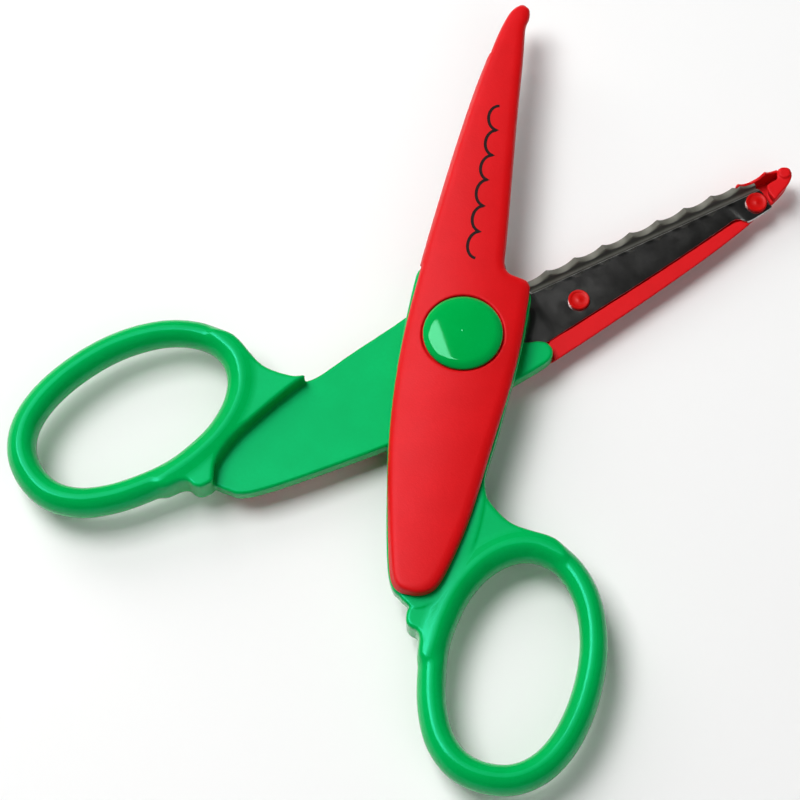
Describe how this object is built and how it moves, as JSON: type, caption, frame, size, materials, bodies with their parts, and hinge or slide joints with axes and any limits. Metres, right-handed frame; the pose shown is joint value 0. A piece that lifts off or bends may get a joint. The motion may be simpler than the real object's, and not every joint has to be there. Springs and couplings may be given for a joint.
{
  "type": "decorative edge scissors",
  "caption": "Craft scissors with scalloped steel blades in moulded red covers, moulded green finger-loop handles and a domed pivot button; the halves turn on the pivot.",
  "frame": {"origin": "on the pivot axis, at the flat land of the rear button that the scissors lie on", "axes": "+Y from the pivot towards the blade tips, halfway between the two halves; +Z along the pivot axis, out of the front half; +X across, towards the front half's finger loop"},
  "size_m": [0.1046, 0.1172, 0.0119],
  "materials": {
    "handle_green": "glossy green moulded plastic",
    "blade_steel": "bright stamped stainless steel",
    "cover_red": "red moulded plastic with a fine matt texture",
    "rivet_red": "smooth red moulded plastic",
    "button_green": "high-gloss green moulded plastic",
    "pivot_steel": "plain turned steel"
  },
  "bodies": {
    "front_half": {"front_handle": "handle_green", "front_blade": "blade_steel", "front_cover": "cover_red", "front_root_rivet": "rivet_red", "front_tip_rivet": "rivet_red", "front_button": "button_green"},
    "rear_half": {"rear_handle": "handle_green", "rear_blade": "blade_steel", "rear_cover": "cover_red", "rear_root_rivet": "rivet_red", "rear_tip_rivet": "rivet_red", "rear_button": "button_green", "pivot_rivet": "pivot_steel", "pivot_washer": "pivot_steel"}
  },
  "joints": [
    {"name": "pivot", "type": "hinge", "parent": "rear_half", "child": "front_half", "pos_m": [0, 0, 0.00591], "axis": [0, 0, 1], "range_deg": [-46.8, 55]}
  ]
}
